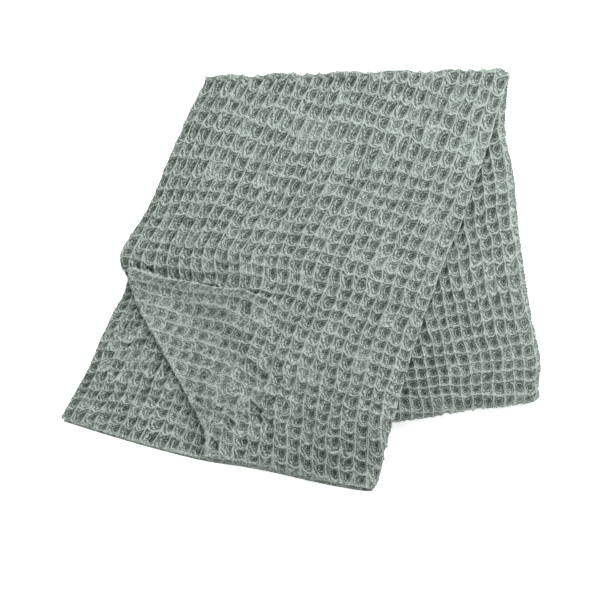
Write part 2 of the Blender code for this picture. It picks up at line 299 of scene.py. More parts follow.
@dataclass(frozen=True)
class Weave:
    """The deep cells of the waffle weave.

    Lengths are in metres and shares are of one cell, measured from its middle to its rim.
    The counts of rows follow the photographed cloth, which is pulled unevenly.
    """

    cells_across: float = 24.0
    second_cells_across: float = 26.5
    cell_length: float = 0.0165
    front_rows_start: float = -0.34
    front_rows_count: Pair = (44.5, 15.5)
    front_rows_slant: Pair = (3.4, 1.8)
    second_rows_count: float = 38.0
    second_rows_slant: Pair = (9.0, 15.0)
    back_rows_count: float = 24.5
    back_rows_slant: Pair = (8.0, 15.5)
    back_rows_pivot: float = 0.8
    rim_height: float = 0.0025
    depth: float = 0.0041
    yarn_height: float = 0.0007
    yarn_width: float = 0.09
    ledge: float = 0.50
    steepness: float = 4.5
    floor_fall: float = 1.3
    roundness: float = 8.0
    floor_roundness: float = 2.4
    lean: Pair = (0.50, 0.30)
    flap_lean: Pair = (-0.36, 0.05)
    shallow_chance: float = 0.10
    shallow_depth: float = 0.55
    usual_depth: float = 0.76
    depth_change: float = 0.26
    # least share of the cells' painted shade, kept where their relief is faint or flat
    least_shade: float = 0.45
    droop: float = 0.42
    droop_change: float = 0.6
    droop_swells: Pair = (0.5, 0.9)
    flap_droop_loss: float = 0.85
    bow: float = 0.52
    arch: float = 0.65
    wander: float = 0.13
    wander_swells: Pair = (0.75, 1.9)
    quick_wander: float = 0.5
    straightness: float = 0.9
    matted_wander: float = 0.24
    matted_swells: float = 2.6
    matted_depth: float = 0.60
    unmatted_from: float = 0.72
    hem_shear: float = 1.5
    hem_shear_reach: float = 0.08

    def front_rows(self, along: Array, reach: Array) -> Array:
        """Return the row of cells on the front leg, closer near the hem than at the fold."""
        count, closing = self.front_rows_count
        slant, slant_growth = self.front_rows_slant
        return (along * (count - closing * along) + reach * (slant + slant_growth * along)
                + self.front_rows_start)

    def second_rows(self, along: Array, reach: Array) -> Array:
        """Return the row of cells on the front leg's second layer."""
        slant, bend = self.second_rows_slant
        return self.second_rows_count * along - reach * (slant - bend * reach)

    def back_rows(self, along: Array, reach: Array) -> Array:
        """Return the row of cells on the back leg, counted from the top fold."""
        slant, turning = self.back_rows_slant
        aside = (reach - self.back_rows_pivot) * along * (slant - turning * along)
        return self.back_rows_count * along + aside

    def sheared(self, along: Array) -> Array:
        """Return by how many columns the top layer is pulled aside on its way from the hem."""
        return -self.hem_shear * np.exp(-along / self.hem_shear_reach)

    def strayed(self, places: Array, patch: Patch, seeds: Triple) -> Array:
        """Return a patch's columns or rows moved by slow, quick and matted swells."""
        slow, quick, matted = (
            lattice_noise(scale * patch.u, scale * patch.v, seed)
            for scale, seed in zip((*self.wander_swells, self.matted_swells), seeds))
        wander = self.wander * (1.0 - self.straightness * patch.straight)
        felt = self.matted_wander * patch.matted
        return places + wander * (slow + self.quick_wander * quick) + felt * matted

    def warped(self, patch: Patch) -> tuple[Array, Array]:
        """Return the weave's coordinates with the unevenness of hand-washed cotton.

        Args:
            patch: the grid with its columns and rows of cells.

        Returns:
            Columns and rows whose whole numbers lie on the ridges.
        """
        column = self.strayed(patch.u, patch, (1.0, 2.0, 7.0))
        row = self.strayed(patch.v, patch, (3.0, 4.0, 8.0))
        upright = 2.0 * (row - np.floor(row)) - 1.0
        column = column - self.bow * patch.flap * (1.0 - upright * upright) ** self.arch
        side = 2.0 * (column - np.floor(column)) - 1.0
        swell_u, swell_v = self.droop_swells
        change = self.droop_change * lattice_noise(swell_u * patch.u, swell_v * patch.v, 5.0)
        loose = 1.0 - self.straightness * patch.straight
        sag = self.droop * (1.0 + change) * loose * patch.hang
        sag = sag * (1.0 - self.flap_droop_loss * patch.flap)
        return column, row + sag * (1.0 - side * side) ** self.arch

    def leans(self, patch: Patch) -> Array:
        """Return how far each point's cell leans along the columns and rows."""
        leans = [plain * patch.hang + patch.flap * (flap - plain)
                 for plain, flap in zip(self.lean, self.flap_lean)]
        return np.stack(leans, axis=-1)

    def cell_depth(self, column: Array, row: Array, matted: Array) -> Array:
        """Return how deep cells are, as a share, from their whole columns and rows."""
        random = cell_random(column, row, 6.0)
        usual = self.usual_depth + self.depth_change * random
        deep = np.where(random > self.shallow_chance, usual, self.shallow_depth)
        felted = np.where(random > self.unmatted_from, 1.0, self.matted_depth)
        return deep + matted * (felted - deep)

    def relief(self, column: Array, row: Array, patch: Patch) -> tuple[Array, Array]:
        """Return the height of the cells' surface and how deep each point's cell is.

        Args:
            column: warped columns of cells.
            row: warped rows of cells.
            patch: the grid they belong to.

        Returns:
            The height over the cloth's middle, and the cell's depth as a share.
        """
        cell = (np.floor(column), np.floor(row))
        x = 2.0 * (column - cell[0]) - 1.0
        y = 2.0 * (row - cell[1]) - 1.0
        inside = np.maximum(1.0 - rounded(x, y, self.roundness), 0.0)
        lean_x, lean_y = np.moveaxis(self.leans(patch), -1, 0)
        slope = 1.0 - rounded(x - lean_x * (1.0 - x * x), y - lean_y * (1.0 - y * y),
                              self.floor_roundness)
        bowl = (self.ledge * (1.0 - (1.0 - inside) ** self.steepness)
                + (1.0 - self.ledge) * np.clip(self.floor_fall * slope, 0.0, 1.0))
        deep = self.cell_depth(*cell, patch.matted)
        yarn = np.exp(-(inside / self.yarn_width) ** 2)
        height = self.rim_height - self.depth * deep * bowl + self.yarn_height * (yarn - 0.5)
        return height, deep


@dataclass(frozen=True)
class Folds:
    """The folded shape of the cloth, as its solid has it.  Metres, +Z up."""

    pitch: float = 0.0040
    layers: int = 4
    roll: float = 0.012
    inner_inset: float = 0.015
    left_inset: float = 0.006
    second_inset: float = 0.002
    under_spare: float = 0.005
    under_fall: float = 0.030
    under_share: float = 0.3
    side_ramp: float = 0.105
    foot_ramp: float = 0.066
    side_spare: float = 0.008
    foot_spare: float = 0.003
    front_length: float = 0.49
    tuck_at: float = 0.385
    tuck_drift: float = 0.053
    tuck_drift_reach: float = 0.40
    tuck_height: float = 0.013
    tuck_lean: float = 0.006
    tuck_front: float = 0.011
    tuck_rear: float = 0.0055
    tuck_fade: Pair = (0.36, 0.60)
    tuck_pull: Pair = (0.3, 1.0)
    tuck_rows: float = 1.0
    tuck_rows_width: float = 0.0100
    tuck_band: float = 0.0100
    tuck_narrowing: float = 1.35
    tuck_narrowest: float = 0.2
    tuck_columns: float = 0.8
    flap_from: Pair = (-0.017, -0.011)
    flap_short: float = 0.04
    band_middle: float = -0.004
    band_reach: float = 0.010
    band_relief: float = -0.40
    flap_relief: float = -0.28
    turned_relief: float = 0.35
    # behind the tuck the cells are deeper and their painted shade darker, for the shade in the
    # valley there
    behind_middle: float = 0.010
    behind_reach: float = 0.008
    behind_relief_and_shade: float = 0.22
    # near the top fold the cells are deeper and their painted shade darker
    fold_relief_and_shade: float = 0.15
    fold_relief_from: float = 0.86
    foot_from: float = 0.72
    foot_hang: float = 0.25
    # beside the front leg's edge the back leg's cells are deeper and their painted shade darker, a
    # painted shadow of the front leg
    edge_shadow_depth: float = 0.18
    edge_shadow_width: float = 0.045
    edge_relief: float = 0.40
    edge_reach: float = 0.16
    shoulder_height: float = 0.005
    shoulder_rise: Pair = (0.008, 0.024)
    shoulder_fall: Pair = (0.030, 0.080)
    hem_bow: float = 0.009
    hem_bow_reach: float = 0.30
    crumple_height: float = 0.006
    crumple_centre: Pair = (-0.070, -0.145)
    crumple_reach: Pair = (0.070, 0.055)
    crumple_wave: float = 0.031
    matted_top: tuple = ((-0.065, -0.135), (0.058, 0.055))
    matted_second: tuple = ((-0.190, -0.066), (0.034, 0.048))
    crumple_creases: tuple = ((1.0, 0.4, 0.0), (-0.5, 0.83, 1.3))
    uneven: float = 0.035
    swells: tuple = ((13.0, 5.0, 0.6, 1.0), (-9.0, 23.0, 0.0, 0.6))
    flat_curl: float = 0.01
    hidden_loss: float = 0.75
    hidden_from: float = 0.012
    hidden_reach: float = 0.03
    hem_plain: float = 0.001
    hem_reach: float = 0.003
    weave: Weave = field(default_factory=Weave)

    @property
    def leg_height(self) -> float:
        """Return the height of one leg of the strip."""
        return self.layers * self.pitch

    @property
    def stack_below(self) -> float:
        """Return the height of the two legs that carry the front leg."""
        return 2.0 * self.leg_height

    @property
    def roll_length(self) -> float:
        """Return the length of cloth round the outer fold."""
        return np.pi * np.sqrt(0.5 * (self.roll ** 2 + (1.5 * self.pitch) ** 2))

    @property
    def curl_length(self) -> float:
        """Return the length of cloth in an edge that is turned half round."""
        return 0.5 * np.pi * self.pitch

    def curled_edge(self, length: Array, curl: Array) -> tuple[Array, Array]:
        """Return how far left and down points of the top layer's curled edge lie.

        Args:
            length: how far along the cloth they lie from where the edge begins to curl.
            curl: the angle through which the strip is turned, in radians.

        Returns:
            The distances to the left and downwards.
        """
        bent = self.curl_length
        flat = curl < self.flat_curl
        safe = np.where(flat, 1.0, curl)
        angle = safe * np.minimum(length, bent) / bent
        straight = np.maximum(length - bent, 0.0)
        out = bent / safe * np.sin(angle) + straight * np.cos(safe)
        down = bent / safe * (1.0 - np.cos(angle)) + straight * np.sin(safe)
        return np.where(flat, length, out), np.where(flat, 0.0, down)

    def place(self, span: Span, share: Array, sections: Sections) -> Place:
        """Return where columns lie in each section.

        Args:
            span: the stretch of cloth across the strip.
            share: the columns' shares of the way along it.
            sections: the rows' sections.

        Returns:
            The columns' reach, level and unrolled reach, a row for each section.
        """
        width = sections.width
        even = np.zeros_like(width) + share[None, :]
        roll = 1.0 - self.roll / width
        inner = 1.0 - self.inner_inset / width
        left = self.left_inset / width
        radius = 0.5 * self.pitch
        bent = self.curl_length
        past_roll = roll + self.roll_length / width
        angle = np.pi * even
        if span in LIFTED_SPANS:
            edge, edge_level = self.top_edge(sections)
            return self.place_on_top(span, even, sections, edge, edge_level)
        if span is Span.OUTER_FOLD:
            reach = roll + self.roll / width * np.sin(angle)
            return Place(reach, 1.5 * np.cos(angle), roll + even * (past_roll - roll))
        if span is Span.BOTTOM:
            reach = roll + (left - roll) * even
            return Place(reach, np.full_like(reach, -1.5), past_roll + roll - reach)
        past_bottom = past_roll + roll - left
        if span is Span.LOWER_FOLD:
            reach = left - radius / width * np.sin(angle)
            return Place(reach, -1.0 - 0.5 * np.cos(angle), past_bottom + even * bent / width)
        if span is Span.THIRD:
            reach = left + (inner - left) * even
            unrolled = past_bottom + bent / width + reach - left
            return Place(reach, np.full_like(reach, -0.5), unrolled)
        if span is Span.INNER_FOLD:
            reach = inner + radius / width * np.sin(angle)
            unrolled = past_bottom + bent / width + inner - left + even * bent / width
            return Place(reach, -0.5 * np.cos(angle), unrolled)
        reach = inner + (self.second_inset / width - inner) * even
        return Place(reach, np.full_like(reach, 0.5), reach)

    def top_edge(self, sections: Sections) -> tuple[Array, Array]:
        """Return the reach and the level at which the top layer's edge starts to curl."""
        bent = self.curl_length
        lengths = (0.5 * bent, bent, bent + sections.under)
        leftmost = np.max([self.curled_edge(length, sections.curl)[0] * np.ones_like(sections.curl)
                           for length in lengths], axis=0)
        return sections.bare + leftmost / sections.width, 2.0 - 0.5 * np.cos(sections.curl)

    def place_on_top(self, span: Span, even: Array, sections: Sections,
                     edge: Array, edge_level: Array) -> Place:
        """Return where the top layer's columns lie, from its turned-under strip to the roll."""
        width = sections.width
        bent = self.curl_length
        turned_right_under = np.maximum(-np.cos(sections.curl), 0.0)
        past_strip = edge + (turned_right_under * sections.under + self.under_spare) / width
        settled = past_strip + self.under_fall / width
        if span in (Span.TURNED_UNDER, Span.SLANT_FOLD):
            length = bent * (1.0 - even)
            if span is Span.TURNED_UNDER:
                length = bent + sections.under * (1.0 - even)
            out, down = self.curled_edge(length, sections.curl)
            return Place(edge - out / width, edge_level - down / self.pitch, edge - length / width)
        if span is Span.OVER_STRIP:
            reach = edge + (past_strip - edge) * even
            return Place(reach, edge_level + 0.0 * even, reach)
        if span is Span.SETTLING:
            reach = past_strip + (settled - past_strip) * even
            return Place(reach, edge_level + (1.5 - edge_level) * smooth(even), reach)
        reach = settled + (1.0 - self.roll / width - settled) * even
        return Place(reach, np.full_like(reach, 1.5), reach)

    def support_under(self, plan: Array) -> Array:
        """Return the height of the stack under plan points of the front leg."""
        foot, head = BACK_LEG[-1], BACK_LEG[0]
        foot_left = np.array([foot.left_x, foot.left_y])
        side = np.array([head.left_x, head.left_y]) - foot_left
        side_normal = np.array([side[1], -side[0]]) / np.hypot(*side)
        front = np.array([foot.right_x, foot.right_y]) - foot_left
        front_normal = np.array([-front[1], front[0]]) / np.hypot(*front)
        inside_left = (plan - foot_left) @ side_normal + self.side_spare
        inside_foot = (plan - foot_left) @ front_normal + self.leg_height + self.foot_spare
        left_part = smooth(1.0 + inside_left / self.side_ramp)
        return self.stack_below * left_part * smooth(1.0 + inside_foot / self.foot_ramp)

    def crumple(self, plan: Array) -> Array:
        """Return how far the matted cloth near the hem stands up at plan points."""
        offset = (plan - np.array(self.crumple_centre)) / np.array(self.crumple_reach)
        phase = 2.0 * np.pi / self.crumple_wave
        bumps = 0.5
        for across_x, across_y, start in self.crumple_creases:
            wave = phase * (across_x * plan[..., 0] + across_y * plan[..., 1]) + start
            bumps = bumps + 0.25 * np.sin(wave)
        return self.crumple_height * bumps * np.exp(-np.sum(offset ** 2, axis=-1))

    def settled(self, plan: Array, height: Array) -> Array:
        """Return points whose height swells and sinks a little from place to place."""
        x, y = plan[..., 0], plan[..., 1]
        wave = sum(weight * np.sin(along_x * x + along_y * y + start)
                   for along_x, along_y, start, weight in self.swells)
        height = height + self.uneven * wave * np.maximum(height - self.pitch, 0.0)
        return np.stack([x, y, height], axis=-1)

    def past_crest(self, along: Array, reach: Array) -> Array:
        """Return how far beyond the tuck's crest places on the front leg lie."""
        crest = self.tuck_at - self.tuck_drift * smooth(reach / self.tuck_drift_reach)
        return (along - crest) * self.front_length

    def band_width(self, reach: Array) -> Array:
        """Return how wide the straight band along the tuck is, narrower to the right."""
        return self.tuck_band * np.maximum(1.0 - self.tuck_narrowing * reach,
                                           self.tuck_narrowest)

    def tuck_share(self, reach: Array) -> Array:
        """Return how much of the tuck is left at shares of the width."""
        return 1.0 - ramp(reach, *self.tuck_fade)

    def shoulder(self, distance: Array) -> Array:
        """Return the swelling beyond the tuck, 0 to 1, at distances from its crest."""
        risen = ramp(distance, *self.shoulder_rise)
        return risen * (1.0 - ramp(distance, *self.shoulder_fall))

    def front_points(self, sections: Sections, span: Span, place: Place) -> Array:
        """Return the points of columns on the front leg."""
        plan = sections.across(place.reach)
        inside = np.clip(place.reach, 0.0, 1.0)
        bow = 1.0 - smooth(sections.along / self.hem_bow_reach)
        plan[..., 1] -= self.hem_bow * 4.0 * inside * (1.0 - inside) * bow
        height = self.support_under(plan) + (place.level + 0.5 * self.layers) * self.pitch
        if span in LIFTED_SPANS:
            distance = self.past_crest(sections.along, place.reach)
            half_width = np.where(distance > 0, self.tuck_rear, self.tuck_front)
            fade = self.tuck_share(place.reach)
            rise = fade * np.exp(-(distance / half_width) ** 2)
            follows = self.under_share if span is Span.TURNED_UNDER else 1.0
            height = height + self.tuck_height * rise + follows * self.crumple(plan)
            height = height + self.shoulder_height * fade * self.shoulder(distance)
            plan = plan + np.array(self.tuck_pull) * self.tuck_lean * rise[..., None]
        return self.settled(plan, height)

    def turn_points(self, leg: Leg, turned: Array, sections: Sections, place: Place) -> Array:
        """Return the points of columns on a cross fold, where the strip turns half round."""
        top = leg is Leg.TOP_FOLD
        outward = 1.0 if top else -1.0
        axis_height = self.stack_below if top else self.leg_height
        plan = sections.across(place.reach)
        line = sections.right - sections.left
        normal = np.stack([-line[:, 1], line[:, 0]], axis=1) / sections.width * outward
        radius = (0.5 * self.layers + outward * place.level) * self.pitch
        angle = np.pi * (0.5 - turned)[:, None]
        plan = plan + normal[:, None] * (radius * np.cos(angle))[..., None]
        return self.settled(plan, axis_height + radius * np.sin(angle))

    def rows_of(self, leg: Leg, along: Array, span: Span, place: Place) -> Array:
        """Return the weave's rows at the columns' places."""
        reach = np.clip(place.reach, 0.0, 1.0)
        weave = self.weave
        on_second = span is Span.SECOND
        front_rows = weave.second_rows if on_second else weave.front_rows
        along = along[:, None]
        if leg is Leg.FRONT:
            rows = front_rows(along, reach)
            if span in LIFTED_SPANS:
                past_band = self.past_crest(along, reach) + self.band_width(reach)
                over = smooth(0.5 + past_band / self.tuck_rows_width)
                rows = rows + self.tuck_rows * self.tuck_share(reach) * (over - 0.5)
            return rows
        rows = front_rows(np.ones_like(along), reach)
        arc = np.pi * self.pitch / weave.cell_length
        if leg is Leg.TOP_FOLD:
            return rows + along * arc * (2.0 + place.level)
        rows = rows + arc * (2.0 + place.level)
        if leg is Leg.BACK:
            return rows + weave.back_rows(along, reach)
        rows = rows + weave.back_rows(np.ones_like(along), reach)
        if leg is Leg.FOOT_FOLD:
            return rows + along * arc * (2.0 - place.level)
        return rows + arc * (2.0 - place.level) + weave.back_rows(along, reach)

    def points_of(self, leg: Leg, along: Array, span: Span, share: Array) -> tuple[Array, ...]:
        """Return one block of a grid.

        Args:
            leg: the stretch along the strip.
            along: the rows' places along it.
            span: the stretch across the strip.
            share: the columns' shares of the way along it.

        Returns:
            The points, the columns and rows of the weave, the reach, and how far the top
            layer's edge is turned under.
        """
        turning = leg in (Leg.TOP_FOLD, Leg.FOOT_FOLD)
        sections = Sections.of_leg(LEG_TABLES[leg], np.ones_like(along) if turning else along)
        place = self.place(span, share, sections)
        if turning:
            points = self.turn_points(leg, along, sections, place)
        elif leg is Leg.FRONT:
            points = self.front_points(sections, span, place)
        else:
            level = -place.level if leg is Leg.BACK else place.level
            floor = self.leg_height if leg is Leg.BACK else 0.0
            height = floor + (level + 0.5 * self.layers) * self.pitch
            points = self.settled(sections.across(place.reach), height)
        across = self.weave.second_cells_across if span is Span.SECOND else self.weave.cells_across
        columns = across * place.unrolled
        if leg is Leg.FRONT and span is not Span.SECOND:
            columns = columns + self.weave.sheared(along[:, None])
        if leg is Leg.FRONT and span in LIFTED_SPANS:
            distance = self.past_crest(along[:, None], place.reach)
            band = self.band_width(place.reach)
            up_band = np.clip(1.0 + distance / band, 0.0, 1.0) * band / self.tuck_band
            columns = columns - self.tuck_columns * self.tuck_share(place.reach) * up_band
        turned = smooth(sections.curl / (0.5 * np.pi)) * np.ones_like(columns)
        return points, columns, self.rows_of(leg, along, span, place), place.reach, turned

    def patch(self, rows: tuple[Run, ...], columns: tuple[Run, ...],
              strengths: dict[Enum, float]) -> Patch:
        """Return a patch of the cloth.

        Args:
            rows: runs of rows along the strip.
            columns: runs of columns across it.
            strengths: how much of the cells' relief each leg and each stretch across
                the strip shows, where it isn't all of it.

        Returns:
            The grid of points, with the weave's columns and rows at each.
        """
        lines = []
        for number, row_run in enumerate(rows):
            along = row_run.places(number == 0)
            blocks = [self.block(row_run.part, along, run.part, run.places(run_number == 0))
                      for run_number, run in enumerate(columns)]
            for block, run in zip(blocks, columns):
                block.strength *= strengths.get(run.part, 1.0) * strengths.get(row_run.part, 1.0)
                # painted shadow: beside the front leg's edge the back leg's cells are deeper and
                # their painted shade darker
                if row_run.part is Leg.BACK:
                    block.strength *= self.beside_front_shadow(block.points)
            lines.append(Patch.joined(blocks, axis=1))
        return Patch.joined(lines, axis=0)

    def block(self, leg: Leg, along: Array, span: Span, share: Array) -> Patch:
        """Return one block of a patch with its full relief.

        Args:
            leg: the stretch along the strip.
            along: the rows' places along it.
            span: the stretch across the strip.
            share: the columns' shares of the way along it.

        Returns:
            The block.
        """
        points, u, v, reach, turned = self.points_of(leg, along, span, share)
        strength = self.hem_fade(leg, along)[:, None] * np.ones_like(u)
        hang = self.hang(leg, along)[:, None] * np.ones_like(u)
        flap, straight, matted = np.zeros_like(u), np.zeros_like(u), np.zeros_like(u)
        if leg is Leg.FRONT and span is Span.SECOND:
            strength *= self.second_shows(along, share)
            matted = self.matted(points, *self.matted_second)
        elif leg is Leg.FRONT and span in LIFTED_SPANS:
            distance = self.past_crest(along[:, None], reach)
            flap = self.on_flap(distance, reach)
            straight = self.on_band(distance, reach)
            matted = self.matted(points, *self.matted_top)
            strength *= self.top_relief(along[:, None], distance, reach)
        if span is Span.OVER_STRIP:
            beside_edge = turned * (1.0 - smooth(share / self.edge_reach))
            strength *= 1.0 - (1.0 - self.edge_relief) * beside_edge
        if span in (Span.TURNED_UNDER, Span.SLANT_FOLD):
            strength *= 1.0 - (1.0 - self.turned_relief) * turned
        return Patch(points, u, v, strength, hang, flap, straight, matted)

    def hang(self, leg: Leg, along: Array) -> Array:
        """Return how far the cells sag on a leg, negative where rows are counted downwards."""
        if leg is Leg.FRONT:
            return np.ones_like(along)
        if leg is Leg.TOP_FOLD:
            return np.cos(np.pi * along)
        if leg is Leg.BACK:
            foot = ramp(along, self.foot_from, 1.0)
            return -1.0 + (1.0 - self.foot_hang) * foot
        return np.full_like(along, -self.foot_hang)

    def beside_front_shadow(self, points: Array) -> Array:
        """Return how much deeper the back leg's cells are beside the front leg's edge.

        The same factor darkens their painted shade there, as a painted shadow of the front leg.
        """
        start, end = FRONT_LEG[0], FRONT_LEG[-1]
        slope = (end.right_x - start.right_x) / (end.right_y - start.right_y)
        edge = start.right_x + slope * (points[..., 1] - start.right_y)
        return 1.0 + self.edge_shadow_depth * np.exp(-((points[..., 0] - edge) / self.edge_shadow_width) ** 2)

    def on_flap(self, distance: Array, reach: Array) -> Array:
        """Return how far places of the top layer lie on the flap below the tuck."""
        below = 1.0 - ramp(distance, *self.flap_from)
        return below * self.tuck_share(reach + self.flap_short)

    def on_band(self, distance: Array, reach: Array) -> Array:
        """Return how far places of the top layer lie on the straight band along the tuck."""
        offset = (distance - self.band_middle) / self.band_reach
        return self.tuck_share(reach) * np.exp(-offset ** 4)

    def top_relief(self, along: Array, distance: Array, reach: Array) -> Array:
        """Return how deep the top layer's cells are beside others, and so how dark their painted
        shade is, from place to place.

        Args:
            along: the places along the front leg.
            distance: how far they lie beyond the tuck's crest.
            reach: the places across it.

        Returns:
            A factor for the relief and for the painted shade.
        """
        # on the band and the flap the cells are flatter and paler; behind the tuck and near the
        # top fold they are deeper, with darker painted shade
        offset = (distance - self.behind_middle) / self.behind_reach
        behind = self.tuck_share(reach) * np.exp(-offset ** 2)
        at_fold = ramp(along, self.fold_relief_from, 1.0)
        return (1.0 + self.band_relief * self.on_band(distance, reach)
                + self.flap_relief * self.on_flap(distance, reach)
                + self.behind_relief_and_shade * behind + self.fold_relief_and_shade * at_fold)

    def matted(self, points: Array, centre: Pair, reach: Pair) -> Array:
        """Return how far the cloth is felted together at points round a centre."""
        offset = (points[..., :2] - np.array(centre)) / np.array(reach)
        return np.exp(-np.sum(offset ** 2, axis=-1) ** 2)

    def second_shows(self, along: Array, share: Array) -> Array:
        """Return how much of the second layer's relief is left where the top one hides it."""
        sections = Sections.of_leg(FRONT_LEG, along)
        reach = self.place(Span.SECOND, share, sections).reach
        past = (reach - sections.bare) * sections.width
        return 1.0 - self.hidden_loss * smooth((past - self.hidden_from) / self.hidden_reach)

    def hem_fade(self, leg: Leg, along: Array) -> Array:
        """Return the share of the relief that is left beside the hems at both ends."""
        if leg not in (Leg.FRONT, Leg.UNDER):
            return np.ones_like(along)
        from_hem = along if leg is Leg.FRONT else 1.0 - along
        return smooth((from_hem * self.front_length - self.hem_plain) / self.hem_reach)


@dataclass
class NodeBoard:
    """The nodes of one material, and the ways in which they are added and joined."""

    tree: bpy.types.NodeTree

    def add(self, kind: str, *sources: Socket) -> bpy.types.Node:
        """Add a node and join the sources to its first inputs."""
        node = self.tree.nodes.new(kind)
        for number, source in enumerate(sources):
            self.tree.links.new(source, node.inputs[number])
        return node

    def math(self, operation: str, *values: object) -> Socket:
        """Add a Math node on sockets and numbers, and return its output."""
        node = self.add("ShaderNodeMath")
        node.operation = operation
        for number, value in enumerate(values):
            if isinstance(value, Socket):
                self.tree.links.new(value, node.inputs[number])
            else:
                node.inputs[number].default_value = value
        return node.outputs[0]

    def attribute(self, name: str) -> bpy.types.Node:
        """Add a node that reads an attribute of the mesh."""
        node = self.add("ShaderNodeAttribute")
        node.attribute_name = name
        return node

    def noise(self, place: Socket, scale: float, detail: float) -> Socket:
        """Return noise from 0 to 1 on the coordinates."""
        node = self.add("ShaderNodeTexNoise", place)
        node.inputs["Scale"].default_value = scale
        node.inputs["Detail"].default_value = detail
        return node.outputs["Fac"]

    def chance(self, cells: Socket) -> Socket:
        """Return a random value from 0 to 1 for each cell."""
        whole = self.add("ShaderNodeVectorMath", cells)
        whole.operation = "FLOOR"
        node = self.add("ShaderNodeTexWhiteNoise", whole.outputs[0])
        node.noise_dimensions = "2D"
        return node.outputs["Value"]

    def step(self, value: Socket, start: float, end: float) -> Socket:
        """Return a soft step from 0 at the start to 1 at the end."""
        node = self.add("ShaderNodeMapRange", value)
        node.interpolation_type = "SMOOTHSTEP"
        node.inputs["From Min"].default_value = start
        node.inputs["From Max"].default_value = end
        return node.outputs["Result"]

    def wave(self, value: Socket, waves: float) -> Socket:
        """Return a wave from 0 to 1 with so many waves for each unit of the value."""
        angle = self.math("MULTIPLY", value, 2.0 * np.pi * waves)
        return self.math("MULTIPLY_ADD", self.math("SINE", angle), 0.5, 0.5)

    def summed(self, *parts: tuple[Socket, float]) -> Socket:
        """Return the sum of sockets, each with its weight."""
        total = None
        for socket, weight in parts:
            scaled = self.math("MULTIPLY", socket, weight)
            total = scaled if total is None else self.math("ADD", total, scaled)
        return total

    def rim_distance(self, cells: Socket, lean: tuple, roundness: float) -> Socket:
        """Return how far each point is from its cell's middle, 1 at the ridges.

        Args:
            cells: the weave's coordinates.
            lean: how far the middle is moved along the columns and rows, sockets or numbers.
            roundness: 2 for a round cell, more for a squarer one.

        Returns:
            The distance.
        """
        parts = self.add("ShaderNodeSeparateXYZ", cells)
        powers = []
        for axis, pull in enumerate(lean):
            share = self.math("FRACT", parts.outputs[axis])
            side = self.math("MULTIPLY_ADD", share, 2.0, -1.0)
            short_of_rim = self.math("MULTIPLY_ADD", side, side, -1.0)
            shift = self.math("MULTIPLY", short_of_rim, pull)
            size = self.math("ABSOLUTE", self.math("ADD", side, shift))
            powers.append(self.math("POWER", size, roundness))
        return self.math("POWER", self.math("ADD", *powers), 1.0 / roundness)


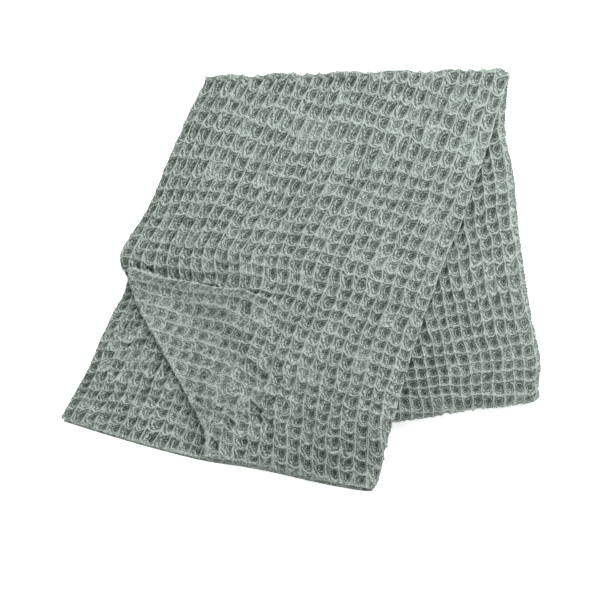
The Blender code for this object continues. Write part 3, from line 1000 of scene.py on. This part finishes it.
@dataclass(frozen=True)
class CottonFinish:
    """Washed sage-green cotton, with painted shade in its cells and a painted highlight on its
    ridges.

    The weights named for shade say how much darker a part of the weave is painted than the
    ridges, and those in height how far it stands out in the bumps.  The darkness of the
    walls and floors is painted shade where shade falls in the cells.
    """

    name: str = "sage_cotton"
    # ridge is the cotton's own colour; wall and floor are it darkened as painted shade in the
    # cells
    ridge: Triple = (0.465, 0.542, 0.490)
    wall: Triple = (0.186, 0.228, 0.200)
    floor: Triple = (0.036, 0.051, 0.041)
    tones: Triple = (0.05, 0.33, 0.95)
    roughness: float = 0.92
    sheen: float = 0.12
    sheen_roughness: float = 0.6
    specular: float = 0.15
    roundness: float = Weave.roundness
    floor_roundness: float = Weave.floor_roundness
    wobble: float = 0.12
    wobble_swells: float = 2.3
    ledge: Pair = (0.03, 0.12)
    line: Pair = (0.86, 0.97)
    rings: float = 2.6
    ring_chance: float = 0.9
    ring_stray: float = 1.5
    stray_swells: float = 5.0
    threads: float = 6.0
    fibre_scale: float = 520.0
    wash_scale: float = 16.0
    # the ledge and slope weights set the painted shade on the cells' walls and floors, the line
    # weight a painted highlight on the ridges
    ledge_shade: float = 0.66
    slope_shade: float = 0.72
    threads_shade: float = -0.55
    crossing_shade: float = -0.36
    line_painted_highlight: float = -0.18
    fibre_shade: float = 1.5
    wash_shade: float = 0.12
    chance_shade: float = 0.06
    rings_height: float = 0.5
    dots_height: float = 0.4
    fibre_height: float = 0.6
    line_height: float = 0.6
    bump_strength: float = 0.9
    bump_distance: float = 0.0007

    def material(self) -> bpy.types.Material:
        """Build the cotton as a node material on the weave's own coordinates."""
        made = bpy.data.materials.new(self.name)
        made.use_nodes = True
        board = NodeBoard(made.node_tree)
        shader = made.node_tree.nodes["Principled BSDF"]
        shader.inputs["Roughness"].default_value = self.roughness
        shader.inputs["Sheen Weight"].default_value = self.sheen
        shader.inputs["Sheen Roughness"].default_value = self.sheen_roughness
        shader.inputs["Specular IOR Level"].default_value = self.specular
        shade, height = self.patterns(board)
        # painted shade: the ramp runs from the ridge colour to the darker wall and floor tones
        ramp_node = board.add("ShaderNodeValToRGB", shade)
        elements = ramp_node.color_ramp.elements
        elements.new(self.tones[1])
        colours = (self.ridge, self.wall, self.floor)
        for element, position, colour in zip(elements, self.tones, colours):
            element.position = position
            element.color = (*colour, 1.0)
        made.node_tree.links.new(ramp_node.outputs["Color"], shader.inputs["Base Color"])
        bump = board.add("ShaderNodeBump")
        bump.inputs["Strength"].default_value = self.bump_strength
        bump.inputs["Distance"].default_value = self.bump_distance
        made.node_tree.links.new(height, bump.inputs["Height"])
        made.node_tree.links.new(bump.outputs["Normal"], shader.inputs["Normal"])
        return made

    def patterns(self, board: NodeBoard) -> tuple[Socket, Socket]:
        """Return the painted shade of the cotton, 0 on the ridges, and the height of its threads.
        """
        # depth here is the weight of each cell's painted shade
        depth = board.attribute("depth").outputs["Fac"]
        lean = board.add("ShaderNodeSeparateXYZ", board.attribute("lean").outputs["Vector"])
        cell_map = board.add("ShaderNodeUVMap")
        cell_map.uv_map = "cells"
        cells = cell_map.outputs["UV"]
        wobble = board.noise(cells, self.wobble_swells, 2.0)
        wobble = board.math("MULTIPLY_ADD", wobble, self.wobble, -0.5 * self.wobble)
        rim = board.rim_distance(cells, (0.0, 0.0), self.roundness)
        rim = board.math("ADD", rim, wobble)
        ledge = board.step(board.math("SUBTRACT", 1.0, rim), *self.ledge)
        # painted highlight: line marks a thin paler band along the ridges' crests
        line = board.step(rim, *self.line)
        # painted shadow: the leaned distance puts the darkest part of each cell to its upper
        # right, where its walls shade its floor
        leaned = board.rim_distance(cells, lean.outputs[:2], self.floor_roundness)
        leaned = board.math("ADD", leaned, wobble)
        slope = board.math("MAXIMUM", board.math("SUBTRACT", 1.0, leaned), 0.0)
        slope = board.math("MULTIPLY", slope, slope)
        chance = board.chance(cells)
        stray = board.noise(cells, self.stray_swells, 2.0)
        rings = board.wave(board.summed(
            (leaned, self.rings), (chance, self.ring_chance), (stray, self.ring_stray)), 1.0)
        axes = board.add("ShaderNodeSeparateXYZ", cells).outputs[:2]
        dots = board.math("MULTIPLY", *(board.wave(axis, self.threads) for axis in axes))
        place = board.add("ShaderNodeTexCoord").outputs["Object"]
        fibre = board.math("ADD", board.noise(place, self.fibre_scale, 4.0), -0.5)
        wash = board.noise(place, self.wash_scale, 3.0)
        threads = board.math("MULTIPLY", rings, ledge)
        crossing = board.math("MULTIPLY", dots, ledge)
        # painted shade: the cells' walls and the far side of their floors darker where shade
        # falls, the ridge line paler as a painted highlight, with the weave's thread rings and
        # dots, scaled by depth
        cell_shade = board.math("MULTIPLY", board.summed(
            (ledge, self.ledge_shade), (slope, self.slope_shade),
            (threads, self.threads_shade), (crossing, self.crossing_shade),
            (line, self.line_painted_highlight)), depth)
        shade = board.summed((cell_shade, 1.0), (fibre, self.fibre_shade),
                             (wash, self.wash_shade), (chance, self.chance_shade))
        height = board.summed((rings, self.rings_height), (dots, self.dots_height),
                              (fibre, self.fibre_height), (line, self.line_height))
        return shade, height


@dataclass
class ClothPiece:
    """One patch of the bedspread, made as a thin sheet with the weave in its points."""

    name: str
    rows: tuple[Run, ...]
    columns: tuple[Run, ...]
    flat: Pair
    strengths: dict[Enum, float] = field(default_factory=dict)
    other_face: bool = False
    thickness: float = 0.0008
    floor_gap: float = 0.0003
    smooth_angle: float = 70.0

    def build(self, folds: Folds, shift: Array, finish: bpy.types.Material) -> bpy.types.Object:
        """Args:
            folds: the folded shape.
            shift: what moves the folds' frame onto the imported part's.
            finish: the cotton.

        Returns:
            The finished piece.
        """
        patch = folds.patch(self.rows, self.columns, self.strengths)
        if self.other_face:
            patch = patch.reversed()
        column, row = folds.weave.warped(patch)
        height, depth = folds.weave.relief(column, row, patch)
        points = patch.points + shift
        normals = grid_normals(points)
        points = points + normals * (height * patch.strength)[..., None]
        points[..., 2] = np.maximum(points[..., 2], self.floor_gap)
        piece = grid_object(self.name, points)
        # painted shade weight of each cell: its depth times the relief's strength, never below
        # least_shade, stored as the depth attribute
        shade = depth * np.maximum(patch.strength, folds.weave.least_shade)
        write_cells(piece, column, row, shade, folds.weave.leans(patch))
        wall = piece.modifiers.new("thickness", "SOLIDIFY")
        wall.thickness = self.thickness
        wall.offset = -1.0
        bpy.context.view_layer.objects.active = piece
        bpy.ops.object.modifier_apply(modifier=wall.name)
        piece.data.materials.append(finish)
        bpy.ops.object.shade_smooth_by_angle(angle=np.radians(self.smooth_angle))
        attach(piece, "root")
        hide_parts(SOLID)
        return piece


def grid_normals(points: Array) -> Array:
    """Return the unit normals of a grid of points, to the side its faces point to."""
    across = np.gradient(points, axis=1)
    along = np.gradient(points, axis=0)
    normals = np.cross(across, along)
    return normals / np.maximum(np.linalg.norm(normals, axis=-1, keepdims=True), LEAST_LENGTH)


def grid_object(name: str, points: Array) -> bpy.types.Object:
    """Make a grid primitive and lay it on the points, rows first."""
    rows, columns = points.shape[:2]
    bpy.ops.object.select_all(action="DESELECT")
    bpy.ops.mesh.primitive_grid_add(x_subdivisions=columns - 1, y_subdivisions=rows - 1)
    made = bpy.context.object
    made.name = name
    made.data.name = name
    made.data.vertices.foreach_set("co", points.reshape(-1).astype(np.float32))
    made.data.update()
    return made


def write_cells(piece: bpy.types.Object, column: Array, row: Array,
                depth: Array, lean: Array) -> None:
    """Give the piece the weave's coordinates as its UV map, and its cells' depth and lean; depth
    here weights the painted shade in the cells.
    """
    mesh = piece.data
    for layer in list(mesh.uv_layers):
        mesh.uv_layers.remove(layer)
    cells = mesh.uv_layers.new(name="cells")
    corner = np.zeros(len(mesh.loops), np.int32)
    mesh.loops.foreach_get("vertex_index", corner)
    flat = np.stack([column.reshape(-1), row.reshape(-1)], axis=1)[corner]
    cells.data.foreach_set("uv", flat.reshape(-1).astype(np.float32))
    depths = mesh.attributes.new("depth", "FLOAT", "POINT")
    depths.data.foreach_set("value", depth.reshape(-1).astype(np.float32))
    # lean also places the painted shadow in each cell's floor
    leans = mesh.attributes.new("lean", "FLOAT_VECTOR", "POINT")
    upright = np.concatenate([lean, np.zeros_like(lean[..., :1])], axis=-1)
    leans.data.foreach_set("vector", upright.reshape(-1).astype(np.float32))


@dataclass
class Bedspread:
    """The whole folded cloth, in the patches that show and those that lie inside."""

    folds: Folds = field(default_factory=Folds)
    finish: CottonFinish = field(default_factory=CottonFinish)
    sunk: float = 0.001

    def pieces(self) -> list[ClothPiece]:
        """Return the patches of the cloth."""
        top = (
            Run(Span.TURNED_UNDER, 8), Run(Span.SLANT_FOLD, 8), Run(Span.OVER_STRIP, 30),
            Run(Span.SETTLING, 20), Run(Span.TOP, 220), Run(Span.OUTER_FOLD, 22),
            Run(Span.BOTTOM, 4, 0.0, 0.04),
        )
        outer = (
            Run(Span.OUTER_FOLD, 20), Run(Span.BOTTOM, 130, 0.0, 0.76),
            Run(Span.BOTTOM, 14, 0.76, 1.0),
        )
        third = (
            Run(Span.LOWER_FOLD, 6), Run(Span.THIRD, 20, 0.0, 0.14),
            Run(Span.THIRD, 16, 0.14, 1.0), Run(Span.INNER_FOLD, 4),
        )
        bottom = (Run(Span.BOTTOM, 16, 0.04, 0.86), Run(Span.BOTTOM, 20, 0.86, 1.0))
        second = (Run(Span.SECOND, 16, 0.0, 0.86), Run(Span.SECOND, 18, 0.86, 1.0))
        flat_top = (
            Run(Span.TURNED_UNDER, 2), Run(Span.SLANT_FOLD, 2), Run(Span.OVER_STRIP, 4),
            Run(Span.SETTLING, 8), Run(Span.TOP, 20),
        )
        at_top = {Span.OUTER_FOLD: 0.9, Span.BOTTOM: 0.35}
        faint = {span: 0.25 for span in Span}
        below = (Run(Leg.BACK, 100), Run(Leg.FOOT_FOLD, 12), Run(Leg.UNDER, 90))
        return [
            ClothPiece("front_near_hem", (Run(Leg.FRONT, 130, 0.0, 0.30),), top,
                       (0.36, 0.15), at_top),
            ClothPiece("front_at_tuck", (Run(Leg.FRONT, 125, 0.30, 0.65),), top,
                       (0.36, 0.175), at_top),
            ClothPiece("front_to_top_fold",
                       (Run(Leg.FRONT, 95, 0.65, 1.0), Run(Leg.TOP_FOLD, 30)), top,
                       (0.36, 0.215), at_top),
            ClothPiece("back_panel",
                       (Run(Leg.BACK, 200), Run(Leg.FOOT_FOLD, 24), Run(Leg.UNDER, 60)), outer,
                       (0.36, 0.86), {Span.OUTER_FOLD: 0.85, Leg.UNDER: 0.33}),
            # the second layer's strength of 1.1 deepens its cells and darkens their painted shade,
            # for the top layer's shade over it
            ClothPiece("second_layer", (Run(Leg.FRONT, 130, 0.0, 0.42),),
                       (Run(Span.SECOND, 160, 0.30, 1.0),), (0.25, 0.2),
                       {Span.SECOND: 1.1}, True),
            ClothPiece("front_inner_layers",
                       (Run(Leg.FRONT, 80, 0.42, 1.0), Run(Leg.TOP_FOLD, 12)),
                       (*bottom, *third, *second), (1.05, 0.32), faint),
            ClothPiece("front_inner_layers_at_hem", (Run(Leg.FRONT, 60, 0.0, 0.42),),
                       (*bottom, *third, Run(Span.SECOND, 6, 0.0, 0.30)), (0.8, 0.2), faint),
            ClothPiece("lower_legs_inner_layers", below, (*third, *second), (0.70, 0.86), faint),
            ClothPiece("lower_legs_first_layer", below, flat_top, (0.36, 0.86), faint),
        ]

    def shift(self) -> Array:
        """Return what moves the folds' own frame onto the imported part's."""
        everything = tuple(Run(span, 12) for span in Span)
        rows = tuple(Run(leg, 24) for leg in Leg)
        points = self.folds.patch(rows, everything, {}).points
        low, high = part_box(SOLID)
        middle = 0.5 * (points.min(axis=(0, 1)) + points.max(axis=(0, 1)))
        wanted = 0.5 * (np.array(low) + np.array(high))
        return np.array([wanted[0] - middle[0], wanted[1] - middle[1], -self.sunk])

    def build(self) -> None:
        """Build and dress every patch."""
        shift = self.shift()
        LOG.info("the folds' frame is moved by %s", np.round(shift, 5))
        cotton = self.finish.material()
        for piece in self.pieces():
            made = piece.build(self.folds, shift, cotton)
            triangles = sum(len(face.vertices) - 2 for face in made.data.polygons)
            LOG.info("%s has %d triangles", made.name, triangles)


class Lamp(NamedTuple):
    """A soft square light that faces the middle of the floor."""

    name: str
    place: Triple
    size: float
    power: float


@dataclass
class Studio:
    """A pale floor, soft light from the upper right and the camera above the bedspread."""

    floor_size: float = 8.0
    floor_colour: Triple = (0.93, 0.93, 0.93)
    floor_glow: float = 0.60
    floor_roughness: float = 0.9
    room_light: float = 0.50
    key: Lamp = Lamp("key_light", (0.9, 1.1, 1.6), 1.8, 45.0)
    fill: Lamp = Lamp("fill_light", (-1.2, -0.6, 1.8), 1.6, 10.0)
    lens: float = 80.0
    sensor: float = 36.0
    target: Triple = (-0.0009, -0.0325, -0.001)
    distance: float = 1.5333
    elevation: float = 65.0

    def floor(self) -> None:
        """Lay the floor, which isn't part of the bedspread."""
        bpy.ops.object.select_all(action="DESELECT")
        bpy.ops.mesh.primitive_plane_add(size=self.floor_size)
        floor = bpy.context.object
        floor.name = "studio_floor"
        finish = bpy.data.materials.new("pale_floor")
        finish.use_nodes = True
        shader = finish.node_tree.nodes["Principled BSDF"]
        shader.inputs["Base Color"].default_value = (*self.floor_colour, 1.0)
        shader.inputs["Roughness"].default_value = self.floor_roughness
        shader.inputs["Emission Color"].default_value = (1.0, 1.0, 1.0, 1.0)
        shader.inputs["Emission Strength"].default_value = self.floor_glow
        floor.data.materials.append(finish)

    def light(self, lamp: Lamp) -> None:
        """Hang one lamp."""
        bpy.ops.object.light_add(type="AREA", location=lamp.place)
        made = bpy.context.object
        made.name = lamp.name
        made.data.size = lamp.size
        made.data.energy = lamp.power
        made.rotation_euler = (-Vector(lamp.place)).to_track_quat("-Z", "Y").to_euler()

    def surroundings(self) -> None:
        """Fill the room with even pale light."""
        world = bpy.data.worlds.new("studio")
        world.use_nodes = True
        background = world.node_tree.nodes["Background"]
        background.inputs["Color"].default_value = (1.0, 1.0, 1.0, 1.0)
        background.inputs["Strength"].default_value = self.room_light
        bpy.context.scene.world = world
        bpy.context.scene.view_settings.view_transform = "Standard"

    def camera(self) -> None:
        """Set up the camera at the photograph's angle."""
        tilt = np.radians(self.elevation)
        target = Vector(self.target)
        away = Vector((0.0, -np.cos(tilt), np.sin(tilt)))
        bpy.ops.object.camera_add(location=target + away * self.distance)
        camera = bpy.context.object
        camera.name = "photo_camera"
        camera.rotation_euler = (-away).to_track_quat("-Z", "Y").to_euler()
        camera.data.lens = self.lens
        camera.data.sensor_width = self.sensor
        bpy.context.scene.camera = camera

    def build(self) -> None:
        """Set up the floor, the lights and the camera."""
        self.floor()
        self.surroundings()
        self.light(self.key)
        self.light(self.fill)
        self.camera()


def main() -> None:
    """Build the bedspread and the studio."""
    logging.basicConfig(level=logging.INFO, format="%(message)s")
    Studio().build()
    Bedspread().build()


if __name__ == "__main__":
    main()
